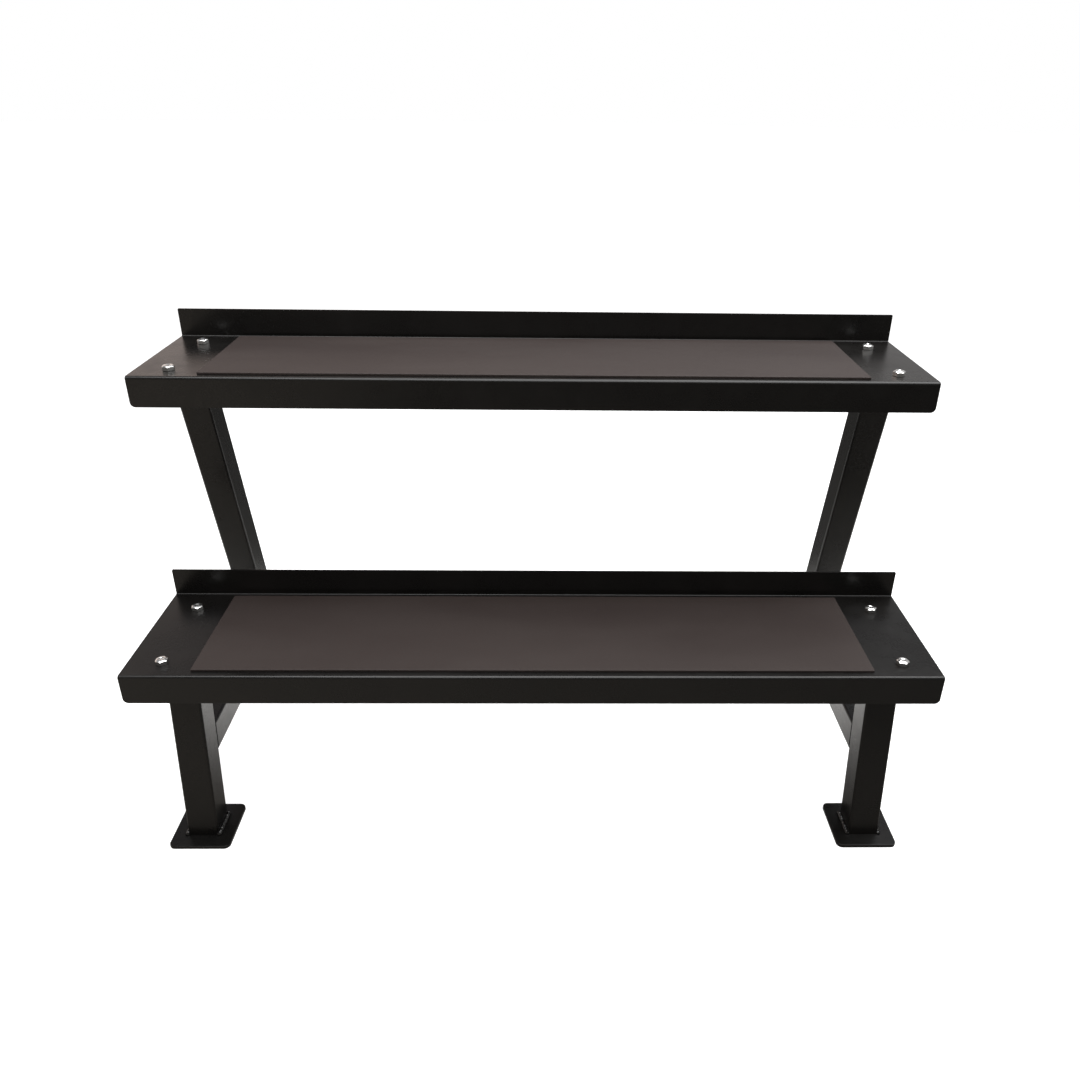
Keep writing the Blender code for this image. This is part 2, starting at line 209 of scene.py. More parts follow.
class RackStudio(PropertyGroup):
    """The floor, the lights and the camera."""

    floor: FloatVectorProperty(
        name="Floor", description="Colour of the plain floor",
        default=(0.55, 0.55, 0.55), size=3, min=0.0, max=1.0, subtype="COLOR")
    floor_glow: FloatVectorProperty(
        name="Floor glow", description="Light given off by the floor, which lifts the shadow on it",
        default=(0.82, 0.82, 0.82), size=3, min=0.0, max=2.0, subtype="COLOR")
    backdrop: FloatVectorProperty(
        name="Backdrop", description="Colour of the plain backdrop",
        default=(1.0, 1.0, 1.0), size=3, min=0.0, max=1.0, subtype="COLOR")
    sheen_left: FloatVectorProperty(
        name="Reflected floor, left",
        description="Colour that glossy pieces see of the floor to the left",
        default=(0.75, 0.68, 0.58), size=3, min=0.0, max=1.0, subtype="COLOR")
    sheen_right: FloatVectorProperty(
        name="Reflected floor, right",
        description="Colour that glossy pieces see of the floor to the right",
        default=(0.085, 0.080, 0.074), size=3, min=0.0, max=1.0, subtype="COLOR")
    sheen_under: FloatVectorProperty(
        name="Reflected floor, under",
        description="Colour that glossy pieces see of the floor under the rack",
        default=(0.95, 0.94, 0.91), size=3, min=0.0, max=1.0, subtype="COLOR")
    sheen_rear: FloatVectorProperty(
        name="Reflected floor, rear",
        description="Colour that glossy pieces see of the floor far behind",
        default=(0.045, 0.045, 0.043), size=3, min=0.0, max=1.0, subtype="COLOR")
    sheen_glow: FloatVectorProperty(
        name="Reflected glow",
        description="Light that lifts the rack's shadow in its own reflections",
        default=(0.05, 0.048, 0.045), size=3, min=0.0, max=1.0, subtype="COLOR")
    sheen_under_glow: FloatVectorProperty(
        name="Reflected glow, under",
        description="Light that lifts the shadow right under the rack",
        default=(0.80, 0.785, 0.765), size=3, min=0.0, max=1.0, subtype="COLOR")
    horizon: FloatVectorProperty(
        name="Horizon", description="Colour of the surround where it meets the floor",
        default=(1.0, 1.0, 1.0), size=3, min=0.0, max=1.0, subtype="COLOR")
    left_wall: FloatVectorProperty(
        name="Left wall", description="Colour of the low light from the left",
        default=(0.84, 0.68, 0.61), size=3, min=0.0, max=1.0, subtype="COLOR")
    right_wall: FloatVectorProperty(
        name="Right wall", description="Colour of the low light from the right",
        default=(0.40, 0.39, 0.385), size=3, min=0.0, max=1.0, subtype="COLOR")
    front_wall: FloatVectorProperty(
        name="Front wall", description="Colour of the low light from the front",
        default=(0.30, 0.285, 0.27), size=3, min=0.0, max=1.0, subtype="COLOR")
    overhead: FloatVectorProperty(
        name="Overhead", description="Colour of the light from high above",
        default=(0.25, 0.25, 0.26), size=3, min=0.0, max=1.0, subtype="COLOR")
    surround: FloatProperty(
        name="Surround", description="Brightness of the surround",
        default=1.1, min=0.0, subtype="FACTOR")
    softbox_power: FloatProperty(
        name="Softbox", description="Power of the wide light over the rack",
        default=190.0, min=0.0, unit="POWER")
    camera_place: FloatVectorProperty(
        name="Camera place", description="Where the camera stands",
        default=(0.0149, -1.3875, 1.1464), size=3, precision=4, subtype="TRANSLATION")
    camera_pitch: FloatProperty(
        name="Pitch", description="How far the camera looks down",
        default=radians(26.95), subtype="ANGLE")
    camera_yaw: FloatProperty(
        name="Yaw", description="How far the camera looks to the right",
        default=radians(1.225), subtype="ANGLE")
    camera_roll: FloatProperty(
        name="Roll", description="How far the camera leans to its left",
        default=radians(0.80), subtype="ANGLE")
    camera_lens: FloatProperty(
        name="Lens", description="Focal length of the camera",
        default=30.32, min=1.0, unit="CAMERA")
    camera_shift: FloatVectorProperty(
        name="Shift",
        description="Sideways and upward shift of the picture, as shares of its width",
        default=(-0.0212, 0.0007), size=2, precision=4, subtype="NONE")


# Shader nodes

class Wire:
    """A shader node's output. Arithmetic on wires adds Math nodes."""

    def __init__(self, nodes, socket):
        self.nodes = nodes
        self.socket = socket

    def maths(self, operation, first, second):
        return self.nodes.node("ShaderNodeMath", {"operation": operation}, {0: first, 1: second})

    def __add__(self, other):
        return self.maths("ADD", self, other)

    def __radd__(self, other):
        return self.maths("ADD", other, self)

    def __sub__(self, other):
        return self.maths("SUBTRACT", self, other)

    def __rsub__(self, other):
        return self.maths("SUBTRACT", other, self)

    def __mul__(self, other):
        return self.maths("MULTIPLY", self, other)

    def __rmul__(self, other):
        return self.maths("MULTIPLY", other, self)


class Nodes:
    """A node tree that is built up one node at a time."""

    def __init__(self, tree):
        self.tree = tree

    def node(self, kind, settings=None, inputs=None, output=0):
        """Any node: its settings are made first, then the values or wires of its inputs."""
        made = self.tree.nodes.new(kind)
        for name, value in (settings or {}).items():
            setattr(made, name, value)
        for key, value in (inputs or {}).items():
            self.feed(made.inputs[key], value)
        return Wire(self, made.outputs[output])

    def feed(self, socket, value):
        if isinstance(value, Wire):
            self.tree.links.new(value.socket, socket)
        else:
            socket.default_value = value

    def between(self, value, low, high):
        """The value stretched so that low becomes 0 and high becomes 1, and held there."""
        inputs = {"Value": value, "From Min": low, "From Max": high}
        settings = {"interpolation_type": "SMOOTHSTEP"}
        return self.node("ShaderNodeMapRange", settings, inputs)

    def blend(self, share, first, second):
        """A colour that goes from the first to the second."""
        inputs = {MIX_FACTOR: share, MIX_FIRST: self.as_colour(first),
                  MIX_SECOND: self.as_colour(second)}
        settings = {"data_type": "RGBA", "clamp_factor": True}
        return self.node("ShaderNodeMix", settings, inputs, MIX_RESULT)

    def part_of(self, vector, axis):
        return self.node("ShaderNodeSeparateXYZ", inputs={"Vector": vector}, output=axis)

    def as_colour(self, value):
        return value if isinstance(value, Wire) else (*value, 1.0)


class Finish(Nodes):
    """A Principled material on the piece's own coordinates."""

    def __init__(self, name, **constants):
        self.material = bpy.data.materials.new(name)
        self.material.use_nodes = True
        super().__init__(self.material.node_tree)
        self.shader = self.tree.nodes["Principled BSDF"]
        self.place = self.node("ShaderNodeTexCoord", output="Object")
        for socket, value in constants.items():
            self.shader.inputs[socket.replace("_", " ")].default_value = value

    def noise(self, scale, detail=2.0, roughness=0.5, stretch=(1.0, 1.0, 1.0)):
        """Cloudy noise from 0 to 1, with its scale in features per metre."""
        where = self.place
        if stretch != (1.0, 1.0, 1.0):
            where = self.node("ShaderNodeMapping", inputs={"Vector": self.place, "Scale": stretch})
        inputs = {"Vector": where, "Scale": scale, "Detail": detail, "Roughness": roughness}
        return self.node("ShaderNodeTexNoise", inputs=inputs)

    def surface(self, colour, roughness, heights):
        """Joins colour, roughness and a chain of (height, metres) bumps to the shader."""
        self.feed(self.shader.inputs["Base Color"], colour)
        self.feed(self.shader.inputs["Roughness"], roughness)
        normal = None
        for height, metres in heights:
            inputs = {"Height": height, "Distance": metres, "Strength": 1.0}
            if normal:
                inputs["Normal"] = normal
            normal = self.node("ShaderNodeBump", inputs=inputs)
        self.feed(self.shader.inputs["Normal"], normal)
        return self.material


def powder_coat(context):
    """Black powder coat: satin gloss, fine orange peel, faint haze and smudges."""
    colours = context.scene.rack_colours
    coat = Finish("black_powder_coat", IOR=1.38)
    haze = coat.between(coat.noise(7.0, 5.0, 0.6), 0.35, 0.8)
    smudge = coat.between(coat.noise(23.0, 6.0, 0.65), 0.45, 0.75)
    peel = coat.noise(520.0, 1.0)
    grain = coat.noise(2300.0, 2.0)
    sway = coat.noise(5.0, 1.0)
    colour = coat.blend(haze * 0.75 + grain * 0.2, colours.coat, colours.coat_dust)
    roughness = colours.coat_roughness + smudge * 0.07 + haze * 0.05 + grain * 0.05
    return coat.surface(colour, roughness, [(sway, 0.0006), (peel, 0.000012), (grain, 0.000003)])


def weld_coat(context):
    """The same coat where it has flowed, wet and glossy, over a lumpy weld."""
    colours = context.scene.rack_colours
    coat = Finish("black_powder_coat_on_weld", IOR=1.5)
    lumps = coat.noise(330.0, 2.0)
    grain = coat.noise(1900.0, 2.0)
    haze = coat.between(coat.noise(60.0, 4.0), 0.4, 0.75)
    colour = coat.blend(haze, colours.coat, colours.coat_dust)
    roughness = colours.coat_roughness * 0.5 + haze * 0.08 + grain * 0.04
    return coat.surface(colour, roughness, [(lumps, 0.00040), (grain, 0.000004)])


def mat_rubber(context):
    """Dull brown-black rubber: fine grain, soft patches of bloom."""
    colours = context.scene.rack_colours
    rubber = Finish("black_rubber", Specular_IOR_Level=0.30)
    bloom = rubber.between(rubber.noise(5.0, 6.0, 0.6, (0.6, 1.6, 1.0)), 0.3, 0.7)
    crumb = rubber.noise(1400.0, 3.0, 0.6)
    pebble = rubber.noise(480.0, 2.0)
    scuff = rubber.between(rubber.noise(34.0, 7.0, 0.7), 0.56, 0.8)
    colour = rubber.blend(bloom * 0.7 + crumb * 0.35, colours.rubber, colours.rubber_bloom)
    roughness = colours.rubber_roughness + bloom * 0.06 + crumb * 0.08 - scuff * 0.05
    return rubber.surface(colour, roughness, [(pebble, 0.00004), (crumb, 0.00003)])


def zinc_plate(context):
    """Bright zinc plating: clear metal with faint clouding and tiny scratches."""
    colours = context.scene.rack_colours
    zinc = Finish("bright_zinc", Metallic=1.0)
    cloud = zinc.between(zinc.noise(260.0, 4.0), 0.35, 0.7)
    scratch = zinc.noise(900.0, 3.0, 0.6, (1.0, 6.0, 1.0))
    dull = tuple(part * 0.72 for part in colours.zinc)
    colour = zinc.blend(cloud, colours.zinc, dull)
    roughness = 0.16 + cloud * 0.08 + scratch * 0.06
    return zinc.surface(colour, roughness, [(scratch, 0.00002)])


def plug_plastic(context):
    """Moulded plastic with a fine spark-eroded texture."""
    colours = context.scene.rack_colours
    plastic = Finish("black_plastic", Specular_IOR_Level=0.5)
    grain = plastic.noise(1700.0, 2.0)
    rub = plastic.between(plastic.noise(90.0, 4.0), 0.5, 0.75)
    paler = tuple(part * 1.9 for part in colours.plastic)
    colour = plastic.blend(rub * 0.5 + grain * 0.4, colours.plastic, paler)
    roughness = 0.52 + grain * 0.16 - rub * 0.12
    return plastic.surface(colour, roughness, [(grain, 0.00004)])


FINISHES = {
    "black_powder_coat": powder_coat,
    "black_powder_coat_on_weld": weld_coat,
    "black_rubber": mat_rubber,
    "bright_zinc": zinc_plate,
    "black_plastic": plug_plastic,
}


def finish_named(context, name):
    """The finish's material, made the first time that it is asked for."""
    found = bpy.data.materials.get(name + "_finish")
    if found:
        return found
    material = FINISHES[name](context)
    material.name = name + "_finish"
    return material


# Shared modelling steps

def middle(node):
    """The middle of a frame node's box."""
    low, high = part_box(node)
    return (low + high) / 2


def add_piece(context, name, bm, finish, *nodes):
    """Turns a bmesh into a piece that rides on the rack and stands for the frame nodes."""
    bmesh.ops.recalc_face_normals(bm, faces=bm.faces)
    mesh = bpy.data.meshes.new(name)
    bm.to_mesh(mesh)
    bm.free()
    mesh.shade_smooth()
    mesh.set_sharp_from_angle(angle=SMOOTH_ANGLE)
    mesh.materials.append(finish_named(context, finish))
    piece = bpy.data.objects.new(name, mesh)
    context.scene.collection.objects.link(piece)
    shading = piece.modifiers.new("flats_stay_flat", "WEIGHTED_NORMAL")
    shading.keep_sharp = True
    shading.weight = 100
    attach(piece, "root")
    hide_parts(*nodes)


def bevel(bm, geom, width, segments, affect="EDGES"):
    bmesh.ops.bevel(bm, geom=geom, offset=width, offset_type="OFFSET", affect=affect,
                    segments=segments, profile=0.5, material=-1)


def edges_along(bm, direction):
    """The edges that run along a direction."""
    aligned = Vector(direction)
    return [edge for edge in bm.edges
            if abs((edge.verts[1].co - edge.verts[0].co).normalized().dot(aligned)) > 0.999]


def sharp_edges(bm, angle=radians(60)):
    return [edge for edge in bm.edges if edge.is_manifold and edge.calc_face_angle() > angle]


def block(low, high):
    """A box between two corners."""
    bm = bmesh.new()
    size = high - low
    place = Matrix.Translation((low + high) / 2) @ Matrix.Diagonal((*size, 1.0))
    bmesh.ops.create_cube(bm, size=1.0, matrix=place)
    return bm


def turned(profile, segments=48, closed=False):
    """A body turned about Z from (radius, height) points. A closed profile makes a ring."""
    bm = bmesh.new()
    verts = [bm.verts.new((radius, 0.0, height)) for radius, height in profile]
    last = verts[1:] + verts[:1] if closed else verts[1:]
    edges = [bm.edges.new(pair) for pair in zip(verts, last)]
    bmesh.ops.spin(bm, geom=verts + edges, cent=(0.0, 0.0, 0.0), axis=(0.0, 0.0, 1.0), angle=tau,
                   steps=segments, use_merge=True, use_duplicate=False)
    bmesh.ops.remove_doubles(bm, verts=bm.verts, dist=HAIR)
    return bm


def drilled(bm, places, radius, depth):
    """Cuts upright holes through a closed bmesh and returns the result."""
    tool = bmesh.new()
    for place in places:
        bmesh.ops.create_cone(tool, cap_ends=True, segments=40, radius1=radius, radius2=radius,
                              depth=depth, matrix=Matrix.Translation(place))
    made = []
    for name, source in (("stock", bm), ("drill", tool)):
        bmesh.ops.recalc_face_normals(source, faces=source.faces)
        mesh = bpy.data.meshes.new(name)
        source.to_mesh(mesh)
        source.free()
        item = bpy.data.objects.new(name, mesh)
        bpy.context.scene.collection.objects.link(item)
        made.append(item)
    stock, drill = made
    cut = stock.modifiers.new("holes", "BOOLEAN")
    cut.operation = "DIFFERENCE"
    cut.solver = "EXACT"
    cut.object = drill
    ready = stock.evaluated_get(bpy.context.evaluated_depsgraph_get())
    result = bmesh.new()
    result.from_mesh(ready.to_mesh())
    ready.to_mesh_clear()
    for item in made:
        mesh = item.data
        bpy.data.objects.remove(item)
        bpy.data.meshes.remove(mesh)
    return result


# Trays and mats

def folded_sheet(length, depth, drop, rise, sizes):
    """A sheet folded down at the front and up at the back, with its front face at y = 0."""
    bm = bmesh.new()
    back = depth - sizes.sheet
    section = [(0.0, -drop), (0.0, 0.0), (back, 0.0), (back, rise)]
    verts = [bm.verts.new((-length / 2, y, z)) for y, z in section]
    edges = [bm.edges.new(pair) for pair in zip(verts, verts[1:])]
    drawn = bmesh.ops.extrude_edge_only(bm, edges=edges)["geom"]
    far = [item for item in drawn if isinstance(item, bmesh.types.BMVert)]
    bmesh.ops.translate(bm, verts=far, vec=(length, 0.0, 0.0))
    lowest = [vert for vert in bm.verts if vert.co.z < HAIR - drop]
    bevel(bm, lowest, sizes.front_corner, CORNER_STEPS, "VERTICES")
    highest = [vert for vert in bm.verts if vert.co.z > rise - HAIR]
    bevel(bm, highest, sizes.rear_corner, RIM_STEPS, "VERTICES")
    for at_front, radius in ((True, sizes.fold_radius), (False, sizes.fold_radius - sizes.sheet)):
        fold = [edge for edge in bm.edges
                if len(edge.link_faces) == 2 and (edge.verts[0].co.y < back / 2) == at_front]
        bevel(bm, fold, radius, FOLD_STEPS)
    bmesh.ops.recalc_face_normals(bm, faces=bm.faces)
    floor = max(bm.faces, key=lambda face: face.calc_area())
    if floor.normal.z < 0.0:
        bmesh.ops.reverse_faces(bm, faces=bm.faces)
    bmesh.ops.solidify(bm, geom=list(bm.faces), thickness=sizes.sheet)
    bevel(bm, sharp_edges(bm), sizes.cut_edge, 2)
    return bm


class RACK_OT_trays(Operator):
    """Fold the two steel trays and punch their bolt holes"""

    bl_idname = "rack.trays"
    bl_label = "Trays"

    def execute(self, context):
        sizes = context.scene.rack_sizes
        for tier in TIERS:
            low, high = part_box(tier + "_tray")
            arm_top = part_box(f"{tier}_arm_left")[1].z
            mat_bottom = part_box(tier + "_mat")[0].z
            top = mat_bottom - (mat_bottom - arm_top - sizes.sheet) / 2
            bm = folded_sheet(high.x - low.x, high.y - low.y, top - low.z, high.z - top, sizes)
            bmesh.ops.translate(bm, verts=bm.verts, vec=(0.0, low.y, top))
            bolts = [middle(f"{tier}_bolt_{row}_{side}") for side in SIDES for row in ROWS]
            places = [Vector((bolt.x, bolt.y, top - sizes.sheet / 2)) for bolt in bolts]
            bm = drilled(bm, places, sizes.hole_radius, 4 * sizes.sheet)
            add_piece(context, tier + "_tray_sheet", bm, "black_powder_coat", tier + "_tray")
        return {"FINISHED"}


class RACK_OT_mats(Operator):
    """Lay a thin rubber mat in each tray"""

    bl_idname = "rack.mats"
    bl_label = "Mats"

    def execute(self, context):
        sizes = context.scene.rack_sizes
        for tier in TIERS:
            low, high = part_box(tier + "_mat")
            bm = block(low, high)
            bevel(bm, edges_along(bm, (0, 0, 1)), MAT_CORNER, 3)
            rim = [edge for edge in bm.edges if all(v.co.z > high.z - HAIR for v in edge.verts)]
            bevel(bm, rim, sizes.mat_edge, RIM_STEPS)
            add_piece(context, tier + "_mat_rubber", bm, "black_rubber", tier + "_mat")
        return {"FINISHED"}


# Side frames

def lean_of(node, width):
    """Lean of a square leg from the upright, found from its box."""
    low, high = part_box(node)
    run = high.y - low.y
    rise = high.z - low.z
    return acos(width / hypot(run, rise)) - atan2(rise, run)


def leg_ends(node, width, goes_back):
    """Centres of a leg's two level ends. A leg goes back or comes forward as it rises."""
    low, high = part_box(node)
    half = width / 2 / cos(lean_of(node, width))
    near, far = low.y + half, high.y - half
    x = (low.x + high.x) / 2
    bottom, top = (near, far) if goes_back else (far, near)
    return Vector((x, bottom, low.z)), Vector((x, top, high.z))


def square_tube(start, end, start_normal, end_normal, width, height, sizes):
    """A hollow tube with rounded corners, cut off along a plane at each end."""
    along = (end - start).normalized()
    across = Vector((1.0, 0.0, 0.0))
    up = along.cross(across)
    length = (end - start).length
    half = Vector((width / 2, height / 2, length / 2))
    bm = block(-half, half)
    ends = [face for face in bm.faces if abs(face.normal.z) > 0.5]
    bmesh.ops.delete(bm, geom=ends, context="FACES_ONLY")
    bevel(bm, edges_along(bm, (0, 0, 1)), sizes.tube_corner, TUBE_STEPS)
    bmesh.ops.recalc_face_normals(bm, faces=bm.faces)
    widest = max(bm.faces, key=lambda face: face.calc_area())
    if widest.normal.dot(widest.calc_center_median()) < 0.0:
        bmesh.ops.reverse_faces(bm, faces=bm.faces)
    bmesh.ops.solidify(bm, geom=list(bm.faces), thickness=sizes.tube_wall)
    turn = Matrix((across, up, along)).transposed()
    for vert in bm.verts:
        at_end = vert.co.z > 0.0
        centre, normal = (end, end_normal) if at_end else (start, start_normal)
        spot = turn @ Vector((vert.co.x, vert.co.y, 0.0))
        vert.co = centre + spot - along * (spot.dot(normal) / along.dot(normal))
    return bm


class RACK_OT_legs(Operator):
    """Stand the four leaning legs on their foot plates"""

    bl_idname = "rack.legs"
    bl_label = "Legs"

    def execute(self, context):
        sizes = context.scene.rack_sizes
        level = Vector((0.0, 0.0, 1.0))
        for side in SIDES:
            for row in ROWS:
                node = f"{row}_leg_{side}"
                low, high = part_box(node)
                width = high.x - low.x
                bottom, top = leg_ends(node, width, row == "front")
                bm = square_tube(bottom, top, level, level, width, width, sizes)
                add_piece(context, node + "_tube", bm, "black_powder_coat", node)
        return {"FINISHED"}


class RACK_OT_rails(Operator):
    """Join each pair of legs with a mitred rail"""

    bl_idname = "rack.rails"
    bl_label = "Side rails"

    def execute(self, context):
        sizes = context.scene.rack_sizes
        for side in SIDES:
            node = "side_rail_" + side
            low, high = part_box(node)
            width = high.x - low.x
            height = high.z - low.z
            front_lean = lean_of("front_leg_" + side, width)
            rear_lean = lean_of("rear_leg_" + side, width)
            centre = (low + high) / 2
            start = Vector((centre.x, low.y + height / 2 * tan(front_lean), centre.z))
            end = Vector((centre.x, high.y - height / 2 * tan(rear_lean), centre.z))
            front_normal = Vector((0.0, cos(front_lean), -sin(front_lean)))
            rear_normal = Vector((0.0, cos(rear_lean), sin(rear_lean)))
            bm = square_tube(start, end, front_normal, rear_normal, width, height, sizes)
            add_piece(context, node + "_tube", bm, "black_powder_coat", node)
        return {"FINISHED"}


class RACK_OT_arms(Operator):
    """Weld a short drilled arm under each end of each tray"""

    bl_idname = "rack.arms"
    bl_label = "Arms"

    def execute(self, context):
        sizes = context.scene.rack_sizes
        level = Vector((0.0, 1.0, 0.0))
        for tier in TIERS:
            for side in SIDES:
                node = f"{tier}_arm_{side}"
                low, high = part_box(node)
                centre = (low + high) / 2
                start = Vector((centre.x, low.y, centre.z))
                end = Vector((centre.x, high.y, centre.z))
                size = high - low
                bm = square_tube(start, end, level, level, size.x, size.z, sizes)
                bolts = [middle(f"{tier}_bolt_{row}_{side}") for row in ROWS]
                places = [Vector((bolt.x, bolt.y, centre.z)) for bolt in bolts]
                bm = drilled(bm, places, sizes.hole_radius, 2 * size.z)
                add_piece(context, node + "_tube", bm, "black_powder_coat", node)
        return {"FINISHED"}


class RACK_OT_plugs(Operator):
    """Push a moulded plug into each end of each arm"""

    bl_idname = "rack.plugs"
    bl_label = "Plugs"

    def execute(self, context):
        sizes = context.scene.rack_sizes
        for tier, row, side in BOLT_PLACES:
            node = f"{tier}_arm_plug_{row}_{side}"
            bm = self.plug(node, row, sizes)
            add_piece(context, node + "_moulding", bm, "black_plastic", node)
        return {"FINISHED"}

    def plug(self, node, row, sizes):
        """A round-edged cap with a stem on its inner face that fills the tube."""
        low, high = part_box(node)
        outward = -1.0 if row == "front" else 1.0
        inner_y = (low.y if row == "front" else high.y) - outward * sizes.plug_cap
        stem_length = (high.y - low.y) - sizes.plug_cap
        flat_low = Vector((low.x, min(inner_y, inner_y + outward * sizes.plug_cap), low.z))
        flat_high = Vector((high.x, max(inner_y, inner_y + outward * sizes.plug_cap), high.z))
        bm = block(flat_low, flat_high)
        bevel(bm, edges_along(bm, (0, 1, 0)), sizes.tube_corner, TUBE_STEPS)
        outer_rim = [edge for edge in bm.edges
                     if all(abs(v.co.y - inner_y) > sizes.plug_cap - HAIR for v in edge.verts)]
        bevel(bm, outer_rim, PLUG_RIM, RIM_STEPS)
        inner = min(bm.faces, key=lambda face: face.normal.y * outward)
        wall = sizes.tube_wall + PLUG_PLAY
        bmesh.ops.inset_region(bm, faces=[inner], thickness=wall, use_even_offset=True)
        drawn = bmesh.ops.extrude_face_region(bm, geom=[inner])["geom"]
        far = [item for item in drawn if isinstance(item, bmesh.types.BMVert)]
        bmesh.ops.delete(bm, geom=[inner], context="FACES_ONLY")
        bmesh.ops.translate(bm, verts=far, vec=(0.0, -outward * stem_length, 0.0))
        return bm


class RACK_OT_foot_plates(Operator):
    """Lay the four foot plates on the floor"""

    bl_idname = "rack.foot_plates"
    bl_label = "Foot plates"

    def execute(self, context):
        sizes = context.scene.rack_sizes
        for row in ROWS:
            for side in SIDES:
                node = f"{row}_foot_plate_{side}"
                low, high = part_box(node)
                bm = block(low, high)
                bevel(bm, edges_along(bm, (0, 0, 1)), sizes.plate_corner, CORNER_STEPS)
                bevel(bm, sharp_edges(bm), sizes.cut_edge * 1.5, 3)
                add_piece(context, node + "_steel", bm, "black_powder_coat", node)
        return {"FINISHED"}


# Welds

def ripple(distance, pitch):
    """Share of a bead's full size along its length: a saw-like swell for each ripple."""
    phase = (distance / pitch) % 1.0
    return 0.80 + 0.20 * (1.0 - phase) ** 0.5


def bead_mesh(name, runs, sizes, seed):
    """Rippled weld beads along runs of points, with tapered ends."""
    chance = random.Random(seed)
    line = bpy.data.curves.new(name, "CURVE")
    line.dimensions = "3D"
    line.bevel_depth = sizes.bead_radius
    line.bevel_resolution = 4
    line.use_fill_caps = True
    for points in runs:
        spline = line.splines.new("POLY")
        spline.points.add(len(points) - 1)
        swell = 1.0
        for number, (point, place) in enumerate(zip(spline.points, points)):
            travelled = (place - points[0]).length
            from_end = min(number, len(points) - 1 - number)
            swell += (1.0 + chance.uniform(-BEAD_SWELL, BEAD_SWELL) - swell) * 0.25
            taper = BEAD_ENDS[from_end] if from_end < len(BEAD_ENDS) else 1.0
            point.co = (*place, 1.0)
            point.radius = ripple(travelled, sizes.bead_ripple) * swell * taper
    holder = bpy.data.objects.new(name + "_line", line)
    bpy.context.scene.collection.objects.link(holder)
    ready = holder.evaluated_get(bpy.context.evaluated_depsgraph_get())
    bm = bmesh.new()
    bm.from_mesh(ready.to_mesh())
    ready.to_mesh_clear()
    bpy.data.objects.remove(holder)
    bpy.data.curves.remove(line)
    bmesh.ops.remove_doubles(bm, verts=bm.verts, dist=HAIR)
    return bm


def straight_run(start, end, sizes):
    """Evenly spaced points of a straight bead."""
    count = ceil((end - start).length / (sizes.bead_ripple / POINTS_PER_RIPPLE))
    return [start.lerp(end, step / count) for step in range(count + 1)]


class RACK_OT_foot_welds(Operator):
    """Run a weld along both sides of the base of each leg"""

    bl_idname = "rack.foot_welds"
    bl_label = "Foot welds"

    def execute(self, context):
        sizes = context.scene.rack_sizes
        seed = 0
        for row in ROWS:
            for side in SIDES:
                seed += 1
                leg = f"{row}_leg_{side}"
                low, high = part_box(leg)
                width = high.x - low.x
                centre, _ = leg_ends(leg, width, row == "front")
                reach = width / 2 / cos(lean_of(leg, width)) + 0.3 * sizes.bead_radius
                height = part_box(f"{row}_foot_plate_{side}")[1].z + 0.25 * sizes.bead_radius
                runs = []
                for way in (-1.0, 1.0):
                    x = centre.x + way * (width / 2 + 0.3 * sizes.bead_radius)
                    start = Vector((x, centre.y - reach, height))
                    end = Vector((x, centre.y + reach, height))
                    runs.append(straight_run(start, end, sizes))
                name = f"{row}_foot_weld_{side}"
                bm = bead_mesh(name, runs, sizes, seed)
                add_piece(context, name, bm, "black_powder_coat_on_weld")
        return {"FINISHED"}


class RACK_OT_frame_welds(Operator):
    """Weld the legs to the arms and the rails to the legs"""

    bl_idname = "rack.frame_welds"
    bl_label = "Frame welds"

    def execute(self, context):
        sizes = context.scene.rack_sizes
        for number, side in enumerate(SIDES):
            for row, tier in zip(ROWS, TIERS):
                self.weld_arm(context, row, tier, side, 20 + number, sizes)
                self.weld_rail(context, row, side, 30 + number, sizes)
        return {"FINISHED"}

    def weld_arm(self, context, row, tier, side, seed, sizes):
        leg = f"{row}_leg_{side}"
        low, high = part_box(leg)
        width = high.x - low.x
        _, top = leg_ends(leg, width, row == "front")
        half = width / 2 / cos(lean_of(leg, width)) + 0.2 * sizes.bead_radius
        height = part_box(f"{tier}_arm_{side}")[0].z - 0.25 * sizes.bead_radius
        middles = [Vector((top.x, top.y + way * half, height)) for way in (-1.0, 1.0)]
        self.weld_across(context, f"{tier}_arm_weld_{side}", middles, width, seed, sizes)

    def weld_rail(self, context, row, side, seed, sizes):
        rail = "side_rail_" + side
        low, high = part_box(rail)
        width = high.x - low.x
        lean = lean_of(f"{row}_leg_{side}", width)
        x = (low.x + high.x) / 2
        drop = (high.z - low.z) * tan(lean)
        offset = 0.25 * sizes.bead_radius
        if row == "front":
            ends = ((low.y + offset, low.z - offset), (low.y + drop + offset, high.z + offset))
        else:
            ends = ((high.y - offset, low.z - offset), (high.y - drop - offset, high.z + offset))
        middles = [Vector((x, y, z)) for y, z in ends]
        self.weld_across(context, f"side_rail_{row}_weld_{side}", middles, width, seed, sizes)

    def weld_across(self, context, name, middles, width, seed, sizes):
        """Level beads across a tube, one about each middle."""
        half = Vector((width / 2 - sizes.tube_corner, 0.0, 0.0))
        runs = [straight_run(spot - half, spot + half, sizes) for spot in middles]
        bm = bead_mesh(name, runs, sizes, seed)
        add_piece(context, name, bm, "black_powder_coat_on_weld")


# Fasteners

def hexagon_reach(x, y, across_flats):
    """Distance from a hexagon's centre to its outline, towards a point."""
    from_flat = atan2(y, x) % (pi / 3) - pi / 6
    return across_flats / 2 / cos(from_flat)


def chamfer_drop(radius, face):
    """How far a 30 degree chamfer that starts at the face's edge has dropped at a radius."""
    return (radius - face) * CHAMFER_SLOPE


def corner_radius(across_flats):
    return across_flats / 2 / cos(pi / 6)


